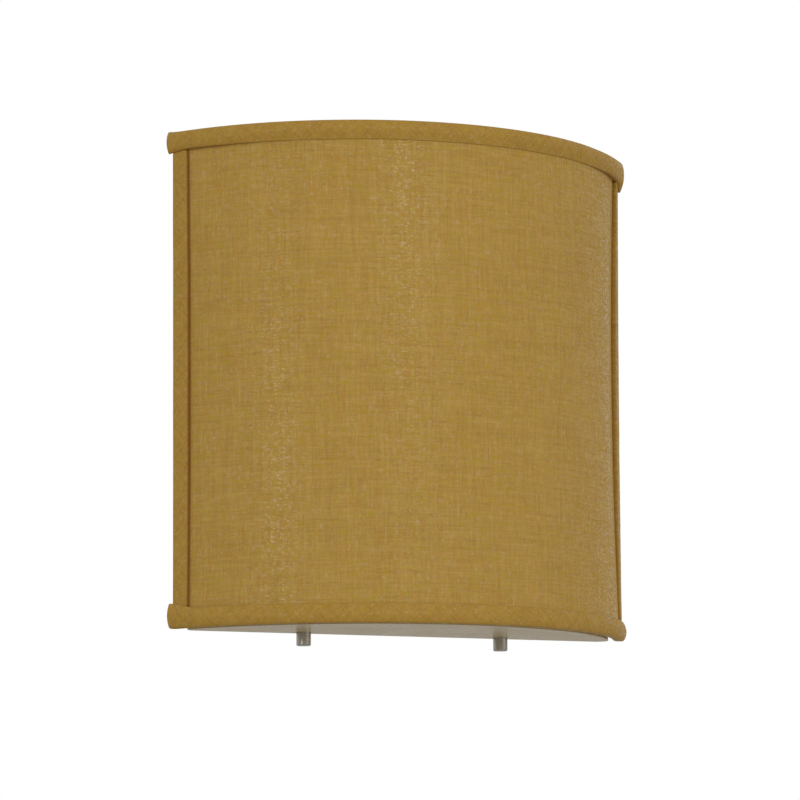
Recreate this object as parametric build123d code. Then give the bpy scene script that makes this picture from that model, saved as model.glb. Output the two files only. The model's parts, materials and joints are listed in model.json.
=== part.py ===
from build123d import *
import os
from math import acos, cos, degrees, hypot, radians, sin, sqrt

# A half-round fabric wall light. Millimetres; +Z is up, +Y goes into the wall, -Y into the room.
# The origin is on the wall, at the middle of the shade's width and height.

# ---------------------------------------------------------------- shade
SHADE_WIDTH = 308.3  # along the wall, over the rim tapes
SHADE_HEIGHT = 304.8  # rim to rim
PROJECTION = 101.6  # wall to the front of the rim tapes
SHADE_GAP = 9.0  # wall to the shade's back edges
RIM_TAPE_HEIGHT = 12.0
RIM_TAPE_PROUD = 4.4  # crown of a rim tape over the fabric
RIM_TAPE_EDGE = 2.3  # its folded edges over the fabric
RIM_TAPE_END = 0.8  # its ends past the side tapes
TAPE_FOLD = 0.6  # radius
SIDE_TAPE_WIDTH = 12.0
TAPE_THICKNESS = 0.8
FABRIC_THICKNESS = 0.8
LINER_THICKNESS = 0.6
FRAME_WIRE = 2.6  # wire diameter
GLUE_LINE = 0.1  # between what is glued or welded
OVERSHOOT = 1.0  # how far a cutting tool runs past a face

# ---------------------------------------------------------------- pan and its fixing
PAN_WIDTH = 240.0
PAN_INSET = 17.4  # below the top rim, and above the bottom rim
PAN_DEPTH = 20.0
PAN_SHEET = 1.2
PAN_BEND = 2.5  # outside radius where its sides are folded back
PAN_TAB = 10.0  # of an end plate, along the pan's front
CROSSBAR_LENGTH = 116.0
CROSSBAR_WIDTH = 19.0
CROSSBAR_SHEET = 1.8
CROSSBAR_STEP = 6.0  # how far the middle stands off the wall
CROSSBAR_MIDDLE = 66.0  # length of the raised middle
CROSSBAR_RAMP = 4.5  # along the wall, from a foot up to the middle
CROSSBAR_CORNER = 3.0
BOX_SCREW_SPACING = 88.9
BOX_SLOT_LENGTH = 10.0
BOX_SLOT_WIDTH = 4.8
PAN_SCREW_SPACING = 52.0
MACHINE_SCREW = 4.2  # diameter
SCREW_HEAD = 7.6  # diameter
SCREW_HEAD_HEIGHT = 2.4
THREAD_GAP = 0.05  # radial, between a thread and its tapped hole
DRIVER_SLOT = 1.0  # width of the slot in a screw's head
GROUND_SCREW_TIP = 1.0  # short of the wall
CAP_NUT_FLATS = 8.7
CAP_NUT_HEX = 3.6  # height of the hexagon
CAP_NUT_WALL = 1.2  # over the end of the screw
CAP_NUT_BORE = 5.5
CAP_NUT_SHOULDER = 0.3  # hexagon outside the dome
DOME_SHARE = 0.9  # of a dome's height or radius, rounded off
CORNER_SHARE = 0.9  # of a hexagon's corners, turned off at its ends
BUSHING_DROP = 34.0  # below the middle of the pan
BUSHING_BORE = 9.5
BUSHING_WALL = 1.5
BUSHING_FLANGE = 1.6  # thickness
BUSHING_FLANGE_REACH = 2.0

# ---------------------------------------------------------------- hooks that carry the shade
HOOK_INSET = 62.4  # rim to the nearer screws
HOOK_SHOULDER = 4.6  # diameter of the screw's shoulder
HOOK_CLEARANCE = 0.3  # all round the shoulder and beside the plate
HOOK_SLOT_DEPTH = 12.0  # mouth to the shoulder's centre
HOOK_CROWN = 12.0  # plate above the shoulder's centre
HOOK_REACH = 11.0  # plate along the pan's side
HOOK_SHEET = 1.5
HOOK_BEND = 0.8  # inside radius
HOOK_THREAD = 4.0
HOOK_THREAD_LENGTH = 4.5

# ---------------------------------------------------------------- lamps and their holders
LAMP_SPACING = 116.0
LAMP_REACH = 50.0  # wall to the lamps' axes
SHELF_INSET = 80.4  # lower rim to the top of the socket brackets
BRACKET_SHEET = 1.6
BRACKET_WIDTH = 26.0
BRACKET_LEG = 24.0
BRACKET_BEND = 2.0  # outside radius
BRACKET_SCREW = 3.3  # diameter
BRACKET_SCREW_SPACING = 15.0
BRACKET_SCREW_LENGTH = 8.0
BRACKET_HEAD = 6.2  # diameter
BRACKET_HEAD_HEIGHT = 2.0
SCREW_CLEARANCE = 0.15  # radial, in a clearance hole
NIPPLE = 9.6  # diameter
NIPPLE_BORE = 6.0
NIPPLE_DEPTH = 8.0  # inside the holder
NIPPLE_BELOW = 6.0  # below the bracket
LOCKNUT_FLATS = 14.0
LOCKNUT_HEIGHT = 3.2
HOLDER_FOOT = 22.0  # diameter
HOLDER_FOOT_HEIGHT = 15.0
HOLDER_HEIGHT = 37.0
HOLDER_WALL = 2.4  # round the screw shell
HOLDER_RIM = 0.8  # radius of its mouth
SHELL_BORE = 12.4
SHELL_WALL = 0.4
SHELL_HEIGHT = 20.0
SHELL_TOP = 1.5  # shell below the holder's mouth
LEAD_HOLE = 3.0  # in the holder's floor
CONTACT_LENGTH = 6.0
CONTACT_WIDTH = 3.6
CONTACT_MARGIN = 0.4  # to the shell's turned-in foot
CONTACT_SHEET = 0.4
CONTACT_RISE = 2.6
CAP_DIAMETER = 11.9
CAP_HEIGHT = 16.0
CAP_WALL = 0.4
LAMP_SEAT = 0.3  # lamp contact above the holder's contact
INSULATOR_HEIGHT = 2.6
INSULATOR_TOP_DIAMETER = 11.0
INSULATOR_FOOT_DIAMETER = 6.0
LAMP_CONTACT_DIAMETER = 4.0
LAMP_CONTACT_HEIGHT = 0.9
GLASS_DIAMETER = 35.0
GLASS_HEIGHT = 78.0
GLASS_WALL = 0.8
GLASS_NECK = 10.6
GLASS_NECK_LENGTH = 10.0
GLASS_IN_CAP = 8.0
GLASS_BELLY_HEIGHT = 42.0  # of the widest place
GLASS_TIP_RADIUS = 6.0

# ---------------------------------------------------------------- diffuser and its knobs
DIFFUSER_THICKNESS = 3.0
DIFFUSER_MARGIN = 2.0  # to the inside of the bottom tape
DIFFUSER_WALL_GAP = 0.8
DIFFUSER_CORNER = 6.5
DIFFUSER_EDGE = 0.4
KNOB_SPACING = 132.2
KNOB_REACH = 8.7  # wall to the knobs' axes
KNOB_DIAMETER = 9.0
KNOB_HEIGHT = 8.0
KNOB_CHAMFER = 0.6
KNOB_BORE_DEPTH = 7.2
STUD_END_GAP = 0.6  # stud to the end of the knob's bore
KNOB_SEAT = 0.1  # knob to diffuser
STUD_CHAMFER = 0.5
POST_FLATS = 8.0
POST_STUD_RISE = 8.0  # stud above the pan's bottom wall
POST_NUT_FLATS = 7.8
POST_NUT_HEIGHT = 3.2
WASHER_DIAMETER = 12.0
WASHER_THICKNESS = 0.8
POST_SEAT = 0.2  # post to washer

# ---------------------------------------------------------------- worked out from these
sagitta = PROJECTION - SHADE_GAP
rim_radius = ((SHADE_WIDTH / 2) ** 2 + sagitta**2) / (2 * sagitta)
axis_y = rim_radius - PROJECTION  # the shade's curve is centred here, behind the wall
end_angle = degrees(acos((axis_y + SHADE_GAP) / rim_radius))
fabric_radius = rim_radius - RIM_TAPE_PROUD
liner_radius = fabric_radius - FABRIC_THICKNESS - GLUE_LINE
liner_inside = liner_radius - LINER_THICKNESS
wire_radius = liner_inside - GLUE_LINE - FRAME_WIRE / 2
wrap = FRAME_WIRE / 2 + GLUE_LINE + TAPE_THICKNESS  # a tape's outside about a wire's centre
tape_inside = wire_radius - wrap

rim_height = SHADE_HEIGHT / 2
tape_edge = rim_height - RIM_TAPE_HEIGHT
ring_height = rim_height - wrap
panel_top = ring_height  # the cloth ends level with the wire
panel_angle = end_angle - degrees((TAPE_THICKNESS + GLUE_LINE) / fabric_radius)
upright_angle = panel_angle - degrees(FRAME_WIRE / 2 / wire_radius)

pan_front = -PAN_DEPTH
pan_side = PAN_WIDTH / 2
pan_floor = PAN_INSET - rim_height
hook_height = rim_height - HOOK_INSET
shelf_height = SHELF_INSET - rim_height

lamp_x = LAMP_SPACING / 2
knob_x = KNOB_SPACING / 2
diffuser_top = -rim_height + DIFFUSER_THICKNESS

RIGHT = 1
LEFT = -1


def polar(radius, angle):
    """Plan point on the shade's curve, at an angle from straight ahead, positive to the right."""
    turn = radians(angle)
    return (radius * sin(turn), axis_y - radius * cos(turn))


upright_x, upright_y = polar(wire_radius, upright_angle)
hook_front = upright_y + HOOK_SHEET / 2 - HOOK_REACH
hook_y = (hook_front + upright_y - HOOK_SHEET / 2) / 2
hook_plate_x = pan_side + HOOK_CLEARANCE


# ---------------------------------------------------------------- helpers
def turned(section, half_angle):
    """Turn a section drawn as (radius, height) about the shade's axis, evenly about the front."""
    turn = radians(half_angle)
    start = Plane(
        origin=(0, axis_y, 0),
        x_dir=(-sin(turn), -cos(turn), 0),
        z_dir=(-cos(turn), sin(turn), 0),
    )
    return revolve(start * section, Axis((0, axis_y, 0), (0, 0, 1)), 2 * half_angle)


def block(low, high):
    """Box between two corners."""
    size = [b - a for a, b in zip(low, high)]
    return Pos(*low) * Box(*size, align=(Align.MIN, Align.MIN, Align.MIN))


def rod(radius, start, end):
    """Round bar from one point to another."""
    path = Vector(*end) - Vector(*start)
    return extrude(Plane(origin=start, z_dir=path) * Circle(radius), path.length)


def section_box(r_low, r_high, z_low, z_high):
    """Rectangle in a (radius, height) section."""
    middle = Pos((r_low + r_high) / 2, (z_low + z_high) / 2)
    return middle * Rectangle(r_high - r_low, z_high - z_low)


def sector(r_low, r_high, a_low, a_high):
    """Plan area between two radii of the shade's curve and two angles."""
    middle = (a_low + a_high) / 2
    outline = [
        ThreePointArc(polar(r_low, a_low), polar(r_low, middle), polar(r_low, a_high)),
        Line(polar(r_low, a_high), polar(r_high, a_high)),
        ThreePointArc(polar(r_high, a_high), polar(r_high, middle), polar(r_high, a_low)),
        Line(polar(r_high, a_low), polar(r_low, a_low)),
    ]
    return make_face(Curve() + outline)


def lathe(outline, x, y, z):
    """Turn an outline of (radius, height) points about an upright axis."""
    profile = make_face(Plane.XZ * Polyline(*outline, close=True))
    return Pos(x, y, z) * revolve(profile, Axis.Z)


def hexagon_bar(flats, height):
    """Upright hexagon with its corners turned off at both ends."""
    corners = flats / sqrt(3)
    blank = extrude(Circle(corners), height)
    turned_off = (corners - flats / 2) * CORNER_SHARE
    blank = chamfer(blank.edges().filter_by(GeomType.CIRCLE), turned_off)
    return blank & extrude(RegularPolygon(corners, 6), height)


def both(piece):
    """A piece and its mirror image across the middle."""
    return piece + mirror(piece, Plane.YZ)


def on_side(piece, side):
    """A piece drawn on the right, for one side."""
    return piece if side == RIGHT else mirror(piece, Plane.YZ)


# ---------------------------------------------------------------- shade
def fabric_panel():
    """The cloth, a sheet of one curve, let into the tapes on all four edges."""
    cloth = section_box(fabric_radius - FABRIC_THICKNESS, fabric_radius, -panel_top, panel_top)
    return turned(cloth, panel_angle)


def liner():
    """The stiff backing behind the cloth."""
    return turned(section_box(liner_inside, liner_radius, -panel_top, panel_top), panel_angle)


def ring_wire():
    """The frame's upper wire, inside the rim and as long as the cloth."""
    return turned(Pos(wire_radius, ring_height) * Circle(FRAME_WIRE / 2), panel_angle)


def upright(radius, half_length):
    """An upright of the frame, or the room for it."""
    return rod(radius, (upright_x, upright_y, -half_length), (upright_x, upright_y, half_length))


def rim_tape():
    """Tape folded over the upper rim: crowned outside, close round the ring wire inside."""
    crown = (rim_radius, (rim_height + tape_edge) / 2)
    hem = (fabric_radius + RIM_TAPE_EDGE, tape_edge)
    fold = (fabric_radius + RIM_TAPE_EDGE, rim_height)
    outline = [
        ThreePointArc(hem, crown, fold),
        Line(fold, (liner_inside, rim_height)),
        Line((liner_inside, rim_height), (liner_inside, tape_edge)),
        Line((liner_inside, tape_edge), hem),
    ]
    centre = Pos(wire_radius, ring_height)
    section = make_face(Curve() + outline)
    section = fillet(section.vertices().group_by(Axis.X)[-1], TAPE_FOLD)
    section += section_box(wire_radius, liner_inside, ring_height, rim_height)
    section += centre * Circle(wrap)
    section -= section_box(
        liner_inside - GLUE_LINE, fabric_radius + GLUE_LINE, 0, panel_top + GLUE_LINE
    )
    section -= centre * Circle(FRAME_WIRE / 2 + GLUE_LINE)
    half_angle = end_angle + degrees(RIM_TAPE_END / fabric_radius)
    return turned(section, half_angle) - both(upright(FRAME_WIRE / 2 + GLUE_LINE, ring_height))


def side_tape():
    """Tape folded round the right back edge and its upright, between the rim tapes."""
    start = end_angle - degrees(SIDE_TAPE_WIDTH / fabric_radius)
    slot_end = panel_angle + degrees(GLUE_LINE / fabric_radius)
    outside = fabric_radius + GLUE_LINE + TAPE_THICKNESS
    centre = Pos(upright_x, upright_y)
    section = sector(fabric_radius + GLUE_LINE, outside, start, end_angle)
    section += sector(wire_radius, outside, slot_end, end_angle)
    section += centre * Circle(wrap)
    section -= sector(liner_inside - GLUE_LINE, fabric_radius + GLUE_LINE, start, slot_end)
    section -= centre * Circle(FRAME_WIRE / 2 + GLUE_LINE)
    tape = extrude(Pos(0, 0, -tape_edge) * section, 2 * tape_edge)
    slit = HOOK_SHEET / 2 + GLUE_LINE
    for height in (hook_height, -hook_height):
        tape -= block(
            (upright_x - 2 * wrap, upright_y - slit, hook_low(height) - GLUE_LINE),
            (upright_x, upright_y + slit, hook_high(height) + GLUE_LINE),
        )
    return tape


def hook_low(height):
    """Lower end of the hanger that hooks on a screw at this height."""
    return height - HOOK_SLOT_DEPTH


def hook_high(height):
    """Upper end of the hanger that hooks on a screw at this height."""
    return height + HOOK_CROWN


def hanger(height):
    """Bent plate welded to the right upright, with a slot that drops over a shoulder screw."""
    outside = hook_plate_x + HOOK_SHEET
    back = upright_y + HOOK_SHEET / 2
    weld = upright_x - FRAME_WIRE / 2 - GLUE_LINE
    outline = Polyline(
        (hook_plate_x, hook_front),
        (outside, hook_front),
        (outside, back - HOOK_SHEET),
        (weld, back - HOOK_SHEET),
        (weld, back),
        (hook_plate_x, back),
        close=True,
    )
    low = Pos(0, 0, hook_low(height))
    plate = extrude(low * make_face(outline), hook_high(height) - hook_low(height))
    inside_corner = (outside, back - HOOK_SHEET, height)
    outside_corner = (hook_plate_x, back, height)
    inner = plate.edges().filter_by(Axis.Z).sort_by_distance(inside_corner)[0]
    plate = fillet(inner, HOOK_BEND)
    outer = plate.edges().filter_by(Axis.Z).sort_by_distance(outside_corner)[0]
    plate = fillet(outer, HOOK_BEND + HOOK_SHEET)
    slot_radius = HOOK_SHOULDER / 2 + HOOK_CLEARANCE
    slot_end = outside + OVERSHOOT
    slot = rod(slot_radius, (pan_side, hook_y, height), (slot_end, hook_y, height))
    slot += block(
        (pan_side, hook_y - slot_radius, hook_low(height) - OVERSHOOT),
        (slot_end, hook_y + slot_radius, height),
    )
    return plate - slot


# ---------------------------------------------------------------- pan and its fixing
def pan():
    """Folded steel backplate: a front and two sides that run back to the wall."""
    outside = block((-pan_side, pan_front, pan_floor), (pan_side, 0, -pan_floor))
    inside_x = pan_side - PAN_SHEET
    inside = block((-inside_x, pan_front + PAN_SHEET, pan_floor), (inside_x, 0, -pan_floor))
    folds = outside.edges().filter_by(Axis.Z).group_by(Axis.Y)[0]
    inner_folds = inside.edges().filter_by(Axis.Z).group_by(Axis.Y)[0]
    body = fillet(folds, PAN_BEND) - fillet(inner_folds, PAN_BEND - PAN_SHEET)
    behind = pan_front + PAN_SHEET + OVERSHOOT
    before = pan_front - OVERSHOOT
    x = PAN_SCREW_SPACING / 2
    drill = rod(MACHINE_SCREW / 2 + SCREW_CLEARANCE, (x, behind, 0), (x, before, 0))
    z = bracket_screw_height
    for x in (lamp_x - BRACKET_SCREW_SPACING / 2, lamp_x + BRACKET_SCREW_SPACING / 2):
        drill += rod(BRACKET_SCREW / 2 + THREAD_GAP, (x, behind, z), (x, before, z))
    for z in (hook_height, -hook_height):
        start = (pan_side - PAN_SHEET - OVERSHOOT, hook_y, z)
        drill += rod(HOOK_THREAD / 2 + THREAD_GAP, start, (pan_side + OVERSHOOT, hook_y, z))
    body -= both(drill)
    opening = BUSHING_BORE / 2 + BUSHING_WALL + GLUE_LINE
    return body - rod(opening, (0, behind, -BUSHING_DROP), (0, before, -BUSHING_DROP))


def end_plate():
    """Plate that closes the pan's lower end, with a tab welded to the pan's front."""
    half = pan_side - PAN_SHEET - GLUE_LINE
    tab_half = pan_side - PAN_BEND - PAN_SHEET
    front = pan_front + PAN_SHEET + GLUE_LINE
    plate = block((-half, front, pan_floor), (half, 0, pan_floor + PAN_SHEET))
    plate = chamfer(plate.edges().filter_by(Axis.Z).group_by(Axis.Y)[0], PAN_BEND)
    tab = block((-tab_half, front, pan_floor), (tab_half, front + PAN_SHEET, pan_floor + PAN_TAB))
    return plate + tab


def drilled_end_plate():
    """The lower end plate, with a hole for each of the diffuser's posts."""
    below = (knob_x, -KNOB_REACH, pan_floor - OVERSHOOT)
    above = (knob_x, -KNOB_REACH, pan_floor + PAN_SHEET + OVERSHOOT)
    return end_plate() - both(rod(MACHINE_SCREW / 2 + SCREW_CLEARANCE, below, above))


def crossbar():
    """Strap on the wall box: flat slotted ends and a middle that stands off the wall."""
    end = CROSSBAR_LENGTH / 2
    foot = CROSSBAR_MIDDLE / 2 + CROSSBAR_RAMP
    top = CROSSBAR_MIDDLE / 2
    sheet = CROSSBAR_SHEET
    raised = -CROSSBAR_STEP
    right_half = [
        (top, raised),
        (foot, 0),
        (end, 0),
        (end, -sheet),
        (foot, -sheet),
        (top, raised - sheet),
    ]
    left_half = [(-x, y) for x, y in reversed(right_half)]
    profile = make_face(Polyline(*right_half, *left_half, close=True))
    strap = extrude(Pos(0, 0, -CROSSBAR_WIDTH / 2) * profile, CROSSBAR_WIDTH)
    strap = fillet(strap.edges().filter_by(Axis.Y), CROSSBAR_CORNER)
    slot = Plane.XZ * (Pos(BOX_SCREW_SPACING / 2, 0) * SlotOverall(BOX_SLOT_LENGTH, BOX_SLOT_WIDTH))
    cut = extrude(slot, sheet + OVERSHOOT) + extrude(slot, -OVERSHOOT)
    tapped = MACHINE_SCREW / 2 + THREAD_GAP
    through = raised - sheet - OVERSHOOT
    x = PAN_SCREW_SPACING / 2
    cut += rod(tapped, (x, 0, 0), (x, through, 0))
    return strap - both(cut) - rod(tapped, (0, 0, 0), (0, through, 0))


def pan_screws():
    """Two screws held in the crossbar, pointing into the room."""
    x = PAN_SCREW_SPACING / 2
    back = -CROSSBAR_STEP
    tip = pan_front - CAP_NUT_BORE + STUD_END_GAP
    screw = rod(MACHINE_SCREW / 2, (x, back, 0), (x, tip, 0))
    screw += rod(SCREW_HEAD / 2, (x, back + SCREW_HEAD_HEIGHT, 0), (x, back, 0))
    return both(screw)


def cap_nuts():
    """Two domed nuts that hold the pan on its screws."""
    dome_radius = CAP_NUT_FLATS / 2 - CAP_NUT_SHOULDER
    height = CAP_NUT_BORE + CAP_NUT_WALL
    nut = hexagon_bar(CAP_NUT_FLATS, CAP_NUT_HEX)
    dome = extrude(Circle(dome_radius), height)
    crown = min(dome_radius, height - CAP_NUT_HEX) * DOME_SHARE
    nut += fillet(dome.edges().group_by(Axis.Z)[-1], crown)
    nut -= extrude(Circle(MACHINE_SCREW / 2 + THREAD_GAP), CAP_NUT_BORE)
    at = Plane(origin=(PAN_SCREW_SPACING / 2, pan_front, 0), z_dir=(0, -1, 0))
    return both(at * nut)


def ground_screw():
    """Washer-head screw in the middle of the crossbar."""
    face = -CROSSBAR_STEP - CROSSBAR_SHEET
    screw = rod(MACHINE_SCREW / 2, (0, face, 0), (0, -GROUND_SCREW_TIP, 0))
    screw += rod(SCREW_HEAD / 2, (0, face, 0), (0, face - SCREW_HEAD_HEIGHT, 0))
    slot = block(
        (-SCREW_HEAD / 2, face - SCREW_HEAD_HEIGHT - OVERSHOOT, -DRIVER_SLOT / 2),
        (SCREW_HEAD / 2, face - SCREW_HEAD_HEIGHT / 2, DRIVER_SLOT / 2),
    )
    return screw - slot


def wire_bushing():
    """Snap bushing in the pan, through which the leads come forward."""
    bore = BUSHING_BORE / 2
    neck = bore + BUSHING_WALL
    flange = neck + BUSHING_FLANGE_REACH
    behind = PAN_SHEET + GLUE_LINE
    outline = [
        (bore, -behind - 2 * BUSHING_WALL),
        (neck, -behind - 2 * BUSHING_WALL),
        (neck + BUSHING_WALL / 2, -behind),
        (neck, -behind),
        (neck, 0),
        (flange, 0),
        (flange, BUSHING_FLANGE / 2),
        (flange - BUSHING_FLANGE / 2, BUSHING_FLANGE),
        (bore, BUSHING_FLANGE),
    ]
    return Plane(origin=(0, pan_front, -BUSHING_DROP), z_dir=(0, -1, 0)) * lathe(outline, 0, 0, 0)


def hook_screws():
    """Four shoulder screws in the pan's sides, which carry the shade."""
    shoulder_end = hook_plate_x + HOOK_SHEET + HOOK_CLEARANCE
    head_end = shoulder_end + SCREW_HEAD_HEIGHT
    screw = rod(HOOK_SHOULDER / 2, (pan_side, hook_y, 0), (shoulder_end, hook_y, 0))
    screw += rod(SCREW_HEAD / 2, (shoulder_end, hook_y, 0), (head_end, hook_y, 0))
    screw += rod(HOOK_THREAD / 2, (pan_side - HOOK_THREAD_LENGTH, hook_y, 0), (pan_side, hook_y, 0))
    screw -= block(
        (head_end - SCREW_HEAD_HEIGHT / 2, hook_y - SCREW_HEAD, -DRIVER_SLOT / 2),
        (head_end + OVERSHOOT, hook_y + SCREW_HEAD, DRIVER_SLOT / 2),
    )
    return both(Pos(0, 0, hook_height) * screw + Pos(0, 0, -hook_height) * screw)


# ---------------------------------------------------------------- lamps and their holders
shelf_under = shelf_height - BRACKET_SHEET
bracket_screw_height = shelf_under - BRACKET_LEG / 2
shell_radius = SHELL_BORE / 2 + SHELL_WALL
holder_bore = shell_radius + GLUE_LINE
holder_top = shelf_height + HOLDER_HEIGHT
shell_high = holder_top - SHELL_TOP
shell_low = shell_high - SHELL_HEIGHT
contact_top = shell_low + CONTACT_RISE
lamp_foot = contact_top + LAMP_SEAT
cap_low = lamp_foot + LAMP_CONTACT_HEIGHT + INSULATOR_HEIGHT
cap_high = cap_low + CAP_HEIGHT


def socket_bracket():
    """Bent bracket for the right lampholder: a leg on the pan and a shelf with a round end."""
    x_low = lamp_x - BRACKET_WIDTH / 2
    x_high = lamp_x + BRACKET_WIDTH / 2
    shelf = block((x_low, -LAMP_REACH, shelf_under), (x_high, pan_front, shelf_height))
    leg_low = (x_low, pan_front - BRACKET_SHEET, shelf_under - BRACKET_LEG)
    leg = block(leg_low, (x_high, pan_front, shelf_height))
    bend = (shelf + leg).edges().filter_by(Axis.X)
    outer = bend.sort_by_distance((lamp_x, pan_front, shelf_height))[0]
    plate = fillet(outer, BRACKET_BEND)
    end = Pos(lamp_x, -LAMP_REACH, shelf_under)
    plate += end * extrude(Circle(BRACKET_WIDTH / 2), BRACKET_SHEET)
    plate -= end * extrude(Circle(NIPPLE / 2 + SCREW_CLEARANCE), BRACKET_SHEET)
    for x in (lamp_x - BRACKET_SCREW_SPACING / 2, lamp_x + BRACKET_SCREW_SPACING / 2):
        hole = BRACKET_SCREW / 2 + SCREW_CLEARANCE
        start = (x, pan_front, bracket_screw_height)
        plate -= rod(hole, start, (x, pan_front - 2 * BRACKET_SHEET, bracket_screw_height))
    return plate


def bracket_screws():
    """Four screws that hold the socket brackets on the pan."""
    face = pan_front - BRACKET_SHEET
    screw = rod(BRACKET_HEAD / 2, (0, face, 0), (0, face - BRACKET_HEAD_HEIGHT, 0))
    screw += rod(BRACKET_SCREW / 2, (0, face, 0), (0, face + BRACKET_SCREW_LENGTH, 0))
    screw -= block(
        (-BRACKET_HEAD, face - BRACKET_HEAD_HEIGHT - OVERSHOOT, -DRIVER_SLOT / 2),
        (BRACKET_HEAD, face - BRACKET_HEAD_HEIGHT / 2, DRIVER_SLOT / 2),
    )
    inner = Pos(lamp_x - BRACKET_SCREW_SPACING / 2, 0, bracket_screw_height) * screw
    outer = Pos(lamp_x + BRACKET_SCREW_SPACING / 2, 0, bracket_screw_height) * screw
    return both(inner + outer)


def lampholder():
    """Moulded holder: a wide foot on the bracket and a sleeve round the screw shell."""
    foot = HOLDER_FOOT / 2
    sleeve = holder_bore + HOLDER_WALL
    nipple = NIPPLE / 2 + THREAD_GAP
    floor = shell_low - shelf_height
    outline = [
        (nipple, 0),
        (foot, 0),
        (foot, HOLDER_FOOT_HEIGHT),
        (sleeve, HOLDER_FOOT_HEIGHT + (foot - sleeve)),
        (sleeve, HOLDER_HEIGHT),
        (holder_bore, HOLDER_HEIGHT),
        (holder_bore, floor),
        (LEAD_HOLE / 2, floor),
        (LEAD_HOLE / 2, NIPPLE_DEPTH),
        (nipple, NIPPLE_DEPTH),
    ]
    body = lathe(outline, lamp_x, -LAMP_REACH, shelf_height)
    mouth = body.edges().filter_by(GeomType.CIRCLE).group_by(Axis.Z)[-1].sort_by(SortBy.RADIUS)[-1]
    return fillet(mouth, HOLDER_RIM)


def screw_shell():
    """Brass sleeve that takes the lamp's cap, turned in at its foot."""
    foot = hypot(CONTACT_LENGTH / 2, CONTACT_WIDTH / 2) + CONTACT_MARGIN
    outline = [
        (SHELL_BORE / 2, SHELL_WALL),
        (SHELL_BORE / 2, SHELL_HEIGHT),
        (shell_radius, SHELL_HEIGHT),
        (shell_radius, 0),
        (foot, 0),
        (foot, SHELL_WALL),
    ]
    return lathe(outline, lamp_x, -LAMP_REACH, shell_low)


def centre_contact():
    """Brass leaf on the holder's floor, arched up to the lamp's contact."""
    half = CONTACT_LENGTH / 2
    arch = CONTACT_RISE - CONTACT_SHEET
    top = ThreePointArc((-half, CONTACT_SHEET), (0, CONTACT_RISE), (half, CONTACT_SHEET))
    under = ThreePointArc((-half, 0), (0, arch), (half, 0))
    ends = [Line((-half, 0), (-half, CONTACT_SHEET)), Line((half, 0), (half, CONTACT_SHEET))]
    leaf = make_face(Curve() + [top, under] + ends)
    strip = extrude(Plane.XZ * leaf, CONTACT_WIDTH / 2, both=True)
    return Pos(lamp_x, -LAMP_REACH, shell_low) * strip


def nipple():
    """Threaded tube that joins the holder to its bracket."""
    outline = [
        (NIPPLE_BORE / 2, -BRACKET_SHEET - NIPPLE_BELOW),
        (NIPPLE / 2, -BRACKET_SHEET - NIPPLE_BELOW),
        (NIPPLE / 2, NIPPLE_DEPTH - GLUE_LINE),
        (NIPPLE_BORE / 2, NIPPLE_DEPTH - GLUE_LINE),
    ]
    return lathe(outline, lamp_x, -LAMP_REACH, shelf_height)


def locknut():
    """Hexagon nut under the bracket."""
    nut = hexagon_bar(LOCKNUT_FLATS, LOCKNUT_HEIGHT)
    nut -= extrude(Circle(NIPPLE / 2 + THREAD_GAP), LOCKNUT_HEIGHT)
    return Pos(lamp_x, -LAMP_REACH, shelf_under - LOCKNUT_HEIGHT) * nut


def lamp_contact():
    """Solder button at the foot of the lamp."""
    radius = LAMP_CONTACT_DIAMETER / 2
    button = extrude(Circle(radius), LAMP_CONTACT_HEIGHT)
    button = fillet(button.edges().group_by(Axis.Z)[0], LAMP_CONTACT_HEIGHT / 2)
    return Pos(lamp_x, -LAMP_REACH, lamp_foot) * button


def lamp_insulator():
    """Dark glass cone between the lamp's contact and its cap."""
    outline = [
        (0, 0),
        (INSULATOR_FOOT_DIAMETER / 2, 0),
        (INSULATOR_TOP_DIAMETER / 2, INSULATOR_HEIGHT),
        (0, INSULATOR_HEIGHT),
    ]
    return lathe(outline, lamp_x, -LAMP_REACH, lamp_foot + LAMP_CONTACT_HEIGHT)


def lamp_cap():
    """Metal screw cap, closed at the foot."""
    radius = CAP_DIAMETER / 2
    outline = [
        (0, 0),
        (radius, 0),
        (radius, CAP_HEIGHT),
        (radius - CAP_WALL, CAP_HEIGHT),
        (radius - CAP_WALL, CAP_WALL),
        (0, CAP_WALL),
    ]
    return lathe(outline, lamp_x, -LAMP_REACH, cap_low)


def glass_solid(inset):
    """Inside or outside of the glass: a narrow neck, a full belly and a blunt tip."""
    belly = GLASS_DIAMETER / 2 - inset
    neck = GLASS_NECK / 2 - inset
    top = GLASS_HEIGHT - inset
    blunt = GLASS_TIP_RADIUS - inset
    flare = ((neck + belly) / 2, (GLASS_NECK_LENGTH + GLASS_BELLY_HEIGHT) / 2)
    rise = top - blunt - GLASS_BELLY_HEIGHT
    shoulder = (belly**2 + rise**2 - blunt**2) / (2 * (belly - blunt))  # radius of the upper side
    out, up = (shoulder - belly) / (shoulder - blunt), rise / (shoulder - blunt)
    tip = (blunt * out, top - blunt + blunt * up)  # where the upper side runs into the tip
    outline = [
        Line((0, 0), (neck, 0)),
        Line((neck, 0), (neck, GLASS_NECK_LENGTH)),
        TangentArc((neck, GLASS_NECK_LENGTH), flare, tangent=(0, 1)),
        TangentArc((belly, GLASS_BELLY_HEIGHT), flare, tangent=(0, -1)),
        TangentArc((belly, GLASS_BELLY_HEIGHT), tip, tangent=(0, 1)),
        TangentArc((0, top), tip, tangent=(1, 0)),
        Line((0, top), (0, 0)),
    ]
    return revolve(Plane.XZ * make_face(Curve() + outline), Axis.Z)


def lamp_glass():
    """Opal glass envelope, let into the cap."""
    envelope = glass_solid(0) - glass_solid(GLASS_WALL)
    return Pos(lamp_x, -LAMP_REACH, cap_high - GLASS_IN_CAP) * envelope


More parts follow.
